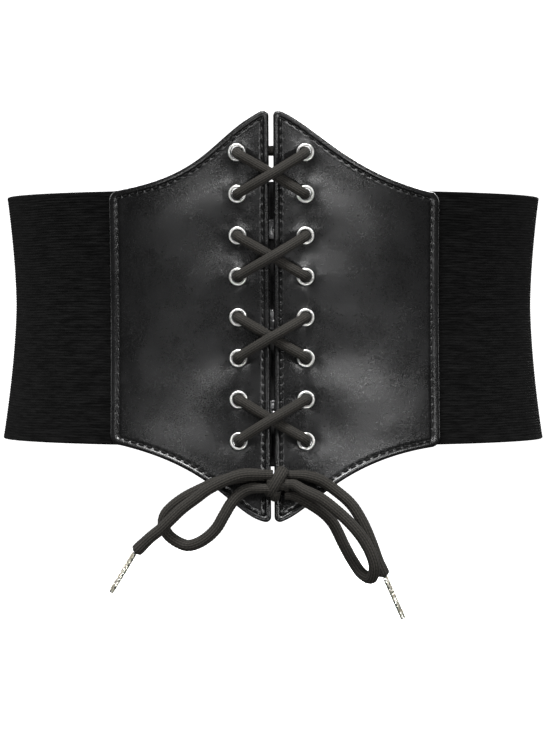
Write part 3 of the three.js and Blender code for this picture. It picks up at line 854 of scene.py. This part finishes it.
# Routes inside the knot, from its middle in mm: across, back and up
KNOT_CORE = [(-5.4, -0.6, 1.4), (-2.5, -0.9, 0.9), (0, -0.9, 0.2), (2.8, -0.6, -0.8), (5.4, -0.8, -1.8)]
KNOT_NECK = [(-1.2, -2.2, -3.6), (-1.5, -1.2, -5.6), (-1.9, 1.4, -7.2), (-2.3, 4, -6.8)]


def narrowing(line, width, loss, start, end):
    """Half widths along a line that lose a part between two shares of its length."""
    return width - loss * smooth_step(start, end, np.linspace(0, 1, len(line)))


def add_knot():
    """The wrap over the knot, its core, its neck down into the gap, and the bight behind the panels."""
    side_way, up_way = np.array([1.0, 0, 0]), np.array([0, 0, 1.0])
    tilt = math.radians(KNOT_TILT_DEG)
    long_way = np.array([math.sin(tilt), 0, math.cos(tilt)])
    wide_way = np.array([math.cos(tilt), 0, -math.sin(tilt)])
    turn = np.radians(np.linspace(*WRAP_TURN, 90))
    wrap = (np.sin(turn)[:, None] * np.array([0, -WRAP_HALF_DEPTH, 0])
            + np.cos(turn)[:, None] * long_way * WRAP_HALF_LENGTH)
    wrap = wrap + wide_way * (np.linspace(WRAP_DRIFT, -WRAP_DRIFT, len(turn)) - WRAP_SHIFT)[:, None]
    wrap = even_points(wrap, TUBE_STEP) + knot_centre
    wrap_width = WRAP_HALF_WIDTH * narrowing(wrap, 1, 0.22, 0.62, 0.95)
    core = spline_through(KNOT_CORE, TUBE_STEP) + knot_centre
    core_width = narrowing(core, CORE_HALF_WIDTH, CORE_NARROWING, 0.55, 0.9)
    neck_end = surface_point(gap_middle_at(KNOT_Z), KNOT_Z, PANEL_BACK - NECK_SINK) - knot_centre
    neck = spline_through(KNOT_NECK + [tuple(neck_end)], TUBE_STEP) + knot_centre
    neck_width = narrowing(neck, NECK_HALF_WIDTH, NECK_NARROWING, 0.35, 0.75)
    reach = KNOT_BACK_WIDTH / 2 + 1
    bight = surface_point(np.linspace(-reach, reach, 30), KNOT_Z, PANEL_BACK - SEAT - BIGHT_SINK)
    parts = [
        strand(wrap, wrap_width, WRAP_HALF_THICKNESS, wide_way),
        strand(core, core_width, CORE_HALF_DEPTH, up_way),
        strand(neck, neck_width, NECK_HALF_DEPTH, side_way),
        strand(even_points(bight, TUBE_STEP), BIGHT_HALF_HEIGHT, NECK_HALF_DEPTH, up_way),
    ]
    points, faces = joined(parts)
    made = add_mesh("braided_knot", points, faces, lace,
                    braid=np.concatenate([part[2] for part in parts]))
    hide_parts("bow_knot")


add_knot()


# Front panels

RIM_STEPS = (0, 0.07, 0.18, 0.33, 0.52, 0.76, 1.05, 1.4, 1.8, 2.2, 2.5, 2.75, 3.0, 3.25, 3.55, 3.9,
             4.4, 5.0)
PANEL_ROWS_BETWEEN = 206
PANEL_COLUMNS_BETWEEN = 96
STITCH_INSET = 3.1
OUTER_STITCH_SHIFT = 1.5
OUTER_SHIFT_START = 12
OUTER_SHIFT_END = 4
STITCH_PITCH = 4.05
STITCH_LENGTH = 2.9
STITCH_RADIUS = 0.48
STITCH_SLANT = 0.16
STITCH_RINGS = 7
STITCH_SIDES = 8
STITCH_DEPTH = 0.36
SEAM_DEPTH = 0.34
SEAM_HALF_WIDTH = 0.7
RIM_RADIUS = 1.15
RIM_DROP = 1.25
STRIP_RISE = 0.25
BEAD_RISE = 0.2
PAD_REACH = 16
PAD_RISE = 0.12
PAD_START = EYELET_INSET - 2
PAD_END = EYELET_INSET + 18
PRESS_HEIGHT = 0.35
PRESS_ROWS = 1.8
PRESS_START = 0.38
PRESS_REACH = 21
DENT_DEPTH = 0.42
DENT_REACH = 1.9
SEAT_REACH = EYELET_RADIUS + 0.5
SEAT_DROP = 0.1
CREASES = 5
CREASE_HEIGHT = 0.07
CREASE_PLACE = 7.2
CREASE_WIDTH = 2.6
CREASE_TURN = 1.7
BACK_RIM_RADIUS = 0.7
BACK_RIDGE = 0.12
HOLE_RADIUS = EYELET_BORE_RADIUS + EYELET_WALL + 0.15
EYELET_CENTRES = [(EYELET_INSET, eyelet_z(row) - PANEL_CENTRE_Z) for row in range(EYELET_ROWS)]

# Waves of the padded leather: length and height in mm. Each runs three ways, which share its height
SWELL_WAVES = ((52, 0.2), (29, 0.05), (17, 0.018))
SWELL_WAYS = 3
SWELL_DIVISOR = 1.7


def panel_edge(width, edge):
    """Upper or lower edge of a panel: across from its inner edge, and height from its middle."""
    tip_steps, hollow_steps, corner_steps = 24, 90, 18
    peak = PANEL_HEIGHT / 2
    outer, slope_degrees, reach, turn_across, turn_rise = edge
    slope = math.radians(slope_degrees)
    points = []
    for angle in np.linspace(math.pi, math.pi / 2 - slope, tip_steps + 1):
        points.append((TIP_RADIUS * (1 + math.cos(angle)), peak - TIP_RADIUS * (1 - math.sin(angle))))
    a = np.array(points[-1])
    b = a + reach * width * np.array([math.cos(slope), -math.sin(slope)])
    c = np.array([turn_across * width, outer + turn_rise * (peak - outer)])
    d = np.array([width - CORNER_RADIUS, outer])
    for t in np.linspace(0, 1, hollow_steps + 1)[1:]:
        u = 1 - t
        points.append(tuple(u ** 3 * a + 3 * u * u * t * b + 3 * u * t * t * c + t ** 3 * d))
    for angle in np.linspace(math.pi / 2, 0, corner_steps + 1)[1:]:
        points.append((width - CORNER_RADIUS * (1 - math.cos(angle)),
                       outer - CORNER_RADIUS * (1 - math.sin(angle))))
    return np.array(points)


def outer_shift(across, width):
    """How much farther in from the outer edge the seam and its strip reach."""
    return OUTER_STITCH_SHIFT * smooth_step(width - OUTER_SHIFT_START, width - OUTER_SHIFT_END, across)


def seam_line(outline):
    """The closed line of stitches, inside a panel's outline."""
    ahead = unit(np.roll(outline, -1, axis=0) - np.roll(outline, 1, axis=0))
    inward = np.stack([ahead[:, 1], -ahead[:, 0]], -1)
    line = outline + inward * STITCH_INSET
    away, _ = nearest_on(line, outline)
    line = line[away > STITCH_INSET - 0.02]
    line[:, 0] -= outer_shift(line[:, 0], outline[:, 0].max())
    return line


def nearest_on(points, line):
    """Distance of flat points to a closed line, and how far along it they are nearest."""
    way = np.roll(line, -1, axis=0) - line
    size = np.maximum((way ** 2).sum(1), 1e-9)
    start_lengths = np.concatenate([[0], np.cumsum(np.sqrt(size))[:-1]])
    best, along = np.full(len(points), 1e9), np.zeros(len(points))
    for i in range(len(line)):
        away = points - line[i]
        share = np.clip(away @ way[i] / size[i], 0, 1)
        distance = ((away - share[:, None] * way[i]) ** 2).sum(1)
        nearer = distance < best
        best = np.where(nearer, distance, best)
        along = np.where(nearer, start_lengths[i] + share * math.sqrt(size[i]), along)
    return np.sqrt(best), along


def stitch_pitch(line):
    """The seam's length shared out in whole stitches."""
    length = line_length(np.vstack([line, line[:1]]))
    return length / int(length / STITCH_PITCH)


def swell(across, height, seed):
    """Slow rise and fall of the padded leather, in mm."""
    source = np.random.default_rng(seed)
    total = np.zeros_like(across)
    for wave, size in SWELL_WAVES:
        for _ in range(SWELL_WAYS):
            way = source.uniform(0, 2 * math.pi)
            phase = source.uniform(0, 2 * math.pi)
            place = across * math.cos(way) + height * math.sin(way)
            total += size / SWELL_DIVISOR * np.sin(2 * np.pi * place / wave + phase)
    return total


def leather_relief(across, height, seam, seed):
    """How far the leather stands over the panel's plain face: rim, seam, dents, bulges and swell."""
    flat = np.stack([across, height], -1)
    away, _ = nearest_on(flat, seam["outline"])
    seam_away, seam_along = nearest_on(flat, seam["line"])
    relief = -RIM_DROP * edge_drop(away, RIM_RADIUS)
    strip = np.clip(away / (STITCH_INSET + outer_shift(across, seam["outline"][:, 0].max())), 0, 1)
    relief += STRIP_RISE * (1 - strip) + BEAD_RISE * np.sin(np.pi * strip) ** 1.5
    part = seam_along / seam["pitch"] % 1
    stitched = np.exp(-((part - STITCH_LENGTH / STITCH_PITCH / 2) / 0.3) ** 4)
    relief -= (SEAM_DEPTH + STITCH_DEPTH * stitched) * bell(seam_away, SEAM_HALF_WIDTH)
    inside = smooth_step(STITCH_INSET, STITCH_INSET + PAD_REACH, away)
    beyond = smooth_step(PAD_START, PAD_END, across)
    relief += inside * (PAD_RISE + beyond * (swell(across, height, seed) - PAD_RISE))
    row = (EYELET_TOP_Z - PANEL_CENTRE_Z - height) / EYELET_PITCH
    near_lacing = bell(np.maximum(across - EYELET_INSET, 0), PRESS_REACH)
    relief += inside * PRESS_HEIGHT * np.cos(2 * np.pi * (row - PRESS_START) / PRESS_ROWS) * near_lacing
    for i, centre in enumerate(EYELET_CENTRES):
        d_across, d_height = across - centre[0], height - centre[1]
        reach = np.hypot(d_across, d_height)
        turn = np.arctan2(d_height, d_across)
        relief -= DENT_DEPTH * np.exp(-((reach - EYELET_RADIUS).clip(0) / DENT_REACH) ** 1.2)
        creases = np.cos(turn * CREASES + i * CREASE_TURN + seed)
        relief += CREASE_HEIGHT * creases * bell(reach, CREASE_WIDTH, CREASE_PLACE)
        relief = np.where(reach < SEAT_REACH, np.minimum(relief, -SEAT_DROP), relief)
    return relief, away


def panel_point(sign, across, height, out):
    z = PANEL_CENTRE_Z + height
    return surface_point(panel_along(sign, across, z), z, out)


def add_panel(name, sign, width, seed):
    columns = rimmed(0, width, RIM_STEPS, PANEL_COLUMNS_BETWEEN)
    upper = panel_edge(width, PANEL_EDGES[name]["upper"])
    lower = panel_edge(width, PANEL_EDGES[name]["lower"])
    tops = np.interp(columns, upper[:, 0], upper[:, 1])
    bottoms = -np.interp(columns, lower[:, 0], lower[:, 1])
    heights = np.array([rimmed(bottom, top, RIM_STEPS, PANEL_ROWS_BETWEEN)
                        for top, bottom in zip(tops, bottoms)])
    flat = np.stack(np.broadcast_arrays(columns[:, None], heights), -1).reshape(-1, 2)
    kept = without_holes(grid_faces(*heights.shape), flat, EYELET_CENTRES, HOLE_RADIUS)
    loose = np.unique(np.array(open_edges(kept)))
    for centre in EYELET_CENTRES:
        reach = flat[loose] - centre
        size = np.linalg.norm(reach, axis=1)
        near = size < EYELET_RADIUS + 2.5
        flat[loose[near]] = centre + reach[near] / size[near, None] * HOLE_RADIUS
    outline = np.vstack([upper, lower[::-1] * [1, -1]])
    line = seam_line(outline)
    seam = {"outline": outline, "line": line, "pitch": stitch_pitch(line)}
    relief, away = leather_relief(flat[:, 0], flat[:, 1], seam, seed)
    face = panel_point(sign, flat[:, 0], flat[:, 1], PANEL_FACE + relief)
    back_out = PANEL_BACK + BACK_RIM_RADIUS * edge_drop(away, BACK_RIM_RADIUS)
    back_out += BACK_RIDGE * bell(away, 0.6, STITCH_INSET)
    back = panel_point(sign, flat[:, 0], flat[:, 1], back_out)
    points, faces = closed_wall(face, back, kept, flipped=sign < 0)
    slots = np.zeros(len(faces))
    slots[len(kept):2 * len(kept)] = away[kept].mean(axis=1) > STITCH_INSET - 0.4
    made = add_mesh(f"leather_{name}", points, faces, [leather, lining], slots)
    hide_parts(f"panel_{name}")
    add_panel_stitching(name, sign, seam)


def add_panel_stitching(name, sign, seam):
    """A row of sunk stitches inside the whole edge of a panel."""
    line = np.vstack([seam["line"], seam["line"][:1]])
    lengths = lengths_along(line)
    pitch = seam["pitch"]
    count = round(lengths[-1] / pitch)
    share = np.linspace(-1, 1, STITCH_RINGS)
    depth = SEAM_DEPTH + STITCH_DEPTH - 0.8 * STITCH_RADIUS + 0.5 * share ** 4
    radius = STITCH_RADIUS * np.sqrt(np.maximum(1 - share ** 8, 0.12))
    angle = np.linspace(0, 2 * np.pi, STITCH_SIDES, endpoint=False)[None, :, None]
    last = (STITCH_RINGS - 1) * STITCH_SIDES
    parts = []
    for i in range(count):
        at = (i + np.linspace(0, STITCH_LENGTH / STITCH_PITCH, STITCH_RINGS)) * pitch
        x, y = np.interp(at, lengths, line[:, 0]), np.interp(at, lengths, line[:, 1])
        tangent = unit(np.array([x[-1] - x[0], y[-1] - y[0]]))
        x, y = x + STITCH_SLANT * share * tangent[1], y - STITCH_SLANT * share * tangent[0]
        middle = panel_point(sign, x, y, PANEL_FACE - depth)
        z = PANEL_CENTRE_Z + y.mean()
        outward = normal_at(panel_along(sign, x.mean(), z), z)
        beside = np.cross(unit(middle[-1] - middle[0]), outward)
        ring = np.cos(angle) * beside + np.sin(angle) * outward
        points = (middle[:, None] + ring * radius[:, None, None]).reshape(-1, 3)
        faces = grid_faces(STITCH_RINGS, STITCH_SIDES, closed_rows=True).tolist()
        faces.append(list(range(STITCH_SIDES)))
        faces.append([last + j for j in reversed(range(STITCH_SIDES))])
        parts.append((points, faces))
    points, faces = joined(parts)
    add_mesh(f"stitching_{name}", points, faces, thread)


add_panel("left", -1, LEFT_PANEL_WIDTH, 11)
add_panel("right", 1, RIGHT_PANEL_WIDTH, 23)


# Elastic band

RIB_PITCH = 1.3
RIB_DEPTH = 0.22
ROWS_PER_RIB = 5
BAND_COLUMNS = 100
BAND_EDGE_RADIUS = 0.7
BAND_EDGE_DROP = 0.62
BAND_WAVE = 0.09

# How the ribs wander round the belt: size in ribs, radians a mm and first angle
RIB_WANDER = ((0.16, 0.11, 1.2), (0.1, 0.19, 0))


def add_band():
    start = panel_along(1, RIGHT_PANEL_WIDTH, 0) - BAND_TUCK
    end = 2 * HALF_ROUND + panel_along(-1, LEFT_PANEL_WIDTH, 0) + BAND_TUCK
    along = np.linspace(start, end, BAND_COLUMNS)
    ribs = int(round(BAND_HEIGHT / RIB_PITCH))
    share = np.linspace(0, 1, ribs * ROWS_PER_RIB + 1)
    z = (share - 0.5) * BAND_HEIGHT
    wander = sum(size * np.sin(along * rate + first) for size, rate, first in RIB_WANDER)
    rib = np.abs(np.sin(np.pi * (share * ribs + wander[:, None]))) ** 0.8
    from_edge = np.minimum(z - z[0], z[-1] - z)
    edge_round = BAND_EDGE_DROP * edge_drop(from_edge, BAND_EDGE_RADIUS)
    groove = RIB_DEPTH * (1 - rib) * smooth_step(1.2, 2.6, from_edge)
    wave = BAND_WAVE * np.sin(along * 0.045 + 0.6)[:, None] * np.cos(z * 0.05)
    face = surface_point(along[:, None], z, BAND_THICKNESS - groove - edge_round + wave)
    back = surface_point(along[:, None], z, 0.25 * groove + 0.9 * edge_round)
    quads = grid_faces(len(along), len(z))
    points, faces = closed_wall(face.reshape(-1, 3), back.reshape(-1, 3), quads)
    made = add_mesh("ribbed_elastic", points, faces, elastic)
    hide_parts("elastic_band")


add_band()


# Eyelets

EYELET_SIDES = 64
CROWN_DEGREES = np.linspace(165, 12, 12)
CROWN_FOOT = SEAT + 0.12


def add_eyelets():
    bore, barrel = EYELET_BORE_RADIUS + 0.05, EYELET_BORE_RADIUS + EYELET_WALL
    back = -PANEL_THICKNESS - SEAT
    crown = SEAT + EYELET_CROWN
    profile = [(bore, back - 0.55), (bore, -0.4), (bore + 0.08, 0.35), (bore + 0.14, crown - 0.25)]
    barrel_faces = len(profile) - 1
    lip = bore + 0.2
    middle, half = (lip + EYELET_RADIUS) / 2, (EYELET_RADIUS - lip) / 2
    for angle in np.radians(CROWN_DEGREES):
        level = CROWN_FOOT + (crown - CROWN_FOOT) * math.sin(angle)
        profile.append((middle + half * math.cos(angle), level))
    profile += [(EYELET_RADIUS, 0.05), (EYELET_RADIUS - 0.25, -0.05), (barrel, -0.1), (barrel, back)]
    profile += [(0.85 * EYELET_RADIUS, back), (0.87 * EYELET_RADIUS, back - 0.3),
                (0.78 * EYELET_RADIUS, back - 0.68), (barrel, back - 0.74)]
    points, faces = lathe(profile, EYELET_SIDES)
    # The barrel's inner faces take the dark metal: painted shade inside each eyelet
    face_slots = np.tile(np.arange(len(profile)) < barrel_faces, EYELET_SIDES)
    for name, sign in (("left", -1), ("right", 1)):
        for row in range(EYELET_ROWS):
            z = eyelet_z(row)
            matrix = frame_at(float(panel_along(sign, EYELET_INSET, z)), z, PANEL_FACE)
            made = add_mesh(f"nickel_eyelet_{name}_{row + 1}", placed(points, matrix), faces,
                            [nickel, gunmetal_and_barrel_shade], face_slots)
            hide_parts(f"eyelet_{name}_{row + 1}")


add_eyelets()


# Placket and snaps

PLACKET_RIM = (0, 0.1, 0.3, 0.6, 1)
PLACKET_RIM_RADIUS = 0.6
PLACKET_RIM_DROP = 0.5
GROOVE_DEPTH = 0.18
GROOVE_INSET = 2.4
GROOVE_WIDTH = 0.35
SNAP_HOLE_RADIUS = SNAP_POST_RADIUS + 0.1
SNAP_SIDES = 40
SNAP_ZS = [SNAP_MIDDLE_Z + SNAP_PITCH * ((SNAP_COUNT - 1) / 2 - i) for i in range(SNAP_COUNT)]


def add_placket(name, sign):
    """One half of the lap behind the gap, with a turned hem and a sunk groove inside its edges."""
    is_front = sign < 0
    seam = PANEL_BACK - SEAT
    front_lap = seam - SNAP_CROWN - SEAT
    lap_face = front_lap if is_front else front_lap - PLACKET_THICKNESS - SEAT
    step_end = PLACKET_LAP if is_front else PLACKET_LAP + SEAT
    turns = np.array([PLACKET_REACH, PLACKET_REACH - PLACKET_HEM, step_end, -PLACKET_LAP])
    outs = np.array([seam, seam, lap_face, lap_face])
    along = -rimmed(-PLACKET_REACH, PLACKET_LAP, PLACKET_RIM, 40)
    out = np.interp(-along, -turns, outs)
    z = rimmed(PLACKET_BOTTOM_Z, PLACKET_TOP_Z, PLACKET_RIM, 130)
    from_side = np.minimum(along - along.min(), along.max() - along)
    from_end = np.minimum(z - z[0], z[-1] - z)
    from_edge = np.minimum(from_side[:, None], from_end[None, :])
    thinning = PLACKET_RIM_DROP * edge_drop(from_edge, PLACKET_RIM_RADIUS)
    thinning += GROOVE_DEPTH * bell(from_edge, GROOVE_WIDTH, GROOVE_INSET)
    places, levels = np.broadcast_arrays(sign * along[:, None], z)
    face = surface_point(places, levels, out[:, None] - thinning).reshape(-1, 3)
    back = surface_point(places, levels, out[:, None] - PLACKET_THICKNESS + thinning).reshape(-1, 3)
    flat = np.stack([places, levels], -1).reshape(-1, 2)
    quads = without_holes(grid_faces(len(along), len(z)), flat, [(0, s) for s in SNAP_ZS],
                          SNAP_HOLE_RADIUS)
    points, faces = closed_wall(face, back, quads, flipped=sign > 0)
    made = add_mesh(f"placket_cloth_{name}", points, faces, lining)
    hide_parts(f"placket_{name}")


def add_snaps():
    through = 2 * PLACKET_THICKNESS + SEAT
    back = -through - SEAT
    rounds = [(0.002, back - 0.9 * SNAP_CROWN), (0.55, back - 0.9 * SNAP_CROWN),
              (0.68, back - 0.6 * SNAP_CROWN), (0.7, back), (SNAP_POST_RADIUS / SNAP_RADIUS, back),
              (SNAP_POST_RADIUS / SNAP_RADIUS, SEAT), (1, SEAT), (1, SEAT + 0.25), (0.93, SEAT + 0.42),
              (0.86, SEAT + 0.36), (0.8, SEAT + 0.3), (0.72, SEAT + 0.42), (0.5, 0.82 * SNAP_CROWN),
              (0.25, 0.96 * SNAP_CROWN), (0.002, SNAP_CROWN)]
    points, faces = lathe([(share * SNAP_RADIUS, level) for share, level in rounds], SNAP_SIDES)
    cap_face = PANEL_BACK - SEAT - SNAP_CROWN - SEAT
    for i, z in enumerate(SNAP_ZS):
        standing = placed(points, frame_at(0.0, z, cap_face))
        made = add_mesh(f"nickel_snap_{i + 1}", standing, faces, gunmetal_and_barrel_shade)
        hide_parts(f"snap_{i + 1}")


add_placket("left", -1)
add_placket("right", 1)
add_snaps()


# Floor, backdrop and light

FLOOR_Z = -0.33
STAGE_RADIUS = 4.0
STAGE_TOP = 3.2
STAGE_SIDES = 96
STAGE_BRIGHTNESS = 0.85


def plain_white(name, brightness):
    shader = Shader(name)
    shader.set(Roughness=0.9, Specular_IOR_Level=0.1)
    shader.set(Base_Color=shader.blend(shader.noise(3), *STAGE_TONES))
    return shader.set(Emission_Color=(1, 1, 1, 1), Emission_Strength=brightness)


def add_stage():
    angles = np.linspace(0, 2 * np.pi, STAGE_SIDES, endpoint=False)
    profile = [(0.00025, FLOOR_Z), (0.6, FLOOR_Z), (0.85, FLOOR_Z), (0.96, FLOOR_Z + 0.2),
               (1, FLOOR_Z + 0.7), (1, STAGE_TOP)]
    points = [(STAGE_RADIUS * share * math.cos(a), STAGE_RADIUS * share * math.sin(a), level)
              for a in angles for share, level in profile]
    mesh = bpy.data.meshes.new("sweep")
    faces = grid_faces(STAGE_SIDES, len(profile), closed_columns=True)[:, ::-1]
    mesh.from_pydata(points, [], faces.tolist())
    mesh.materials.append(plain_white("white_sweep", STAGE_BRIGHTNESS))
    mesh.polygons.foreach_set("use_smooth", [True] * len(mesh.polygons))
    sweep = add_object("sweep", mesh)
    sweep.visible_glossy = False
    sweep.visible_diffuse = False
    sweep.visible_shadow = False


WORLD_LIGHT = 0.06
LIGHT_DISTANCE = 2.2
# Area lights: name, degrees to the right of the front, degrees up, width, height, watts
LIGHTS = [
    ("upper_left_light", -29, 24, 0.5, 0.35, 10),
    ("upper_right_light", 31, 23, 0.8, 0.35, 20),
    ("lower_left_light", -22, -22, 0.45, 0.35, 10),
    ("lower_right_light", 20, -22, 0.5, 0.35, 14),
    ("top_light", -12, 57, 0.8, 0.5, 88),
    ("left_side_light", -112, 20, 0.8, 1.2, 20),
    ("right_side_light", 112, 20, 0.8, 1.2, 20),
    ("back_light", 172, 30, 1.4, 0.9, 80),
]


def add_light(name, across, up, width, height, power):
    data = bpy.data.lights.new(name, "AREA")
    data.shape = "RECTANGLE"
    data.size, data.size_y = width, height
    data.energy = power
    light = add_object(name, data)
    turn, rise = math.radians(across), math.radians(up)
    way = Vector((math.sin(turn) * math.cos(rise), -math.cos(turn) * math.cos(rise), math.sin(rise)))
    light.location = way * LIGHT_DISTANCE
    light.rotation_euler = way.to_track_quat("Z", "Y").to_euler()


add_stage()
world = bpy.data.worlds.new("studio")
world.use_nodes = True
background = world.node_tree.nodes["Background"]
background.inputs["Color"].default_value = (1, 1, 1, 1)
background.inputs["Strength"].default_value = WORLD_LIGHT
bpy.context.scene.world = world
for light in LIGHTS:
    add_light(*light)
bpy.context.scene.view_settings.view_transform = "Standard"
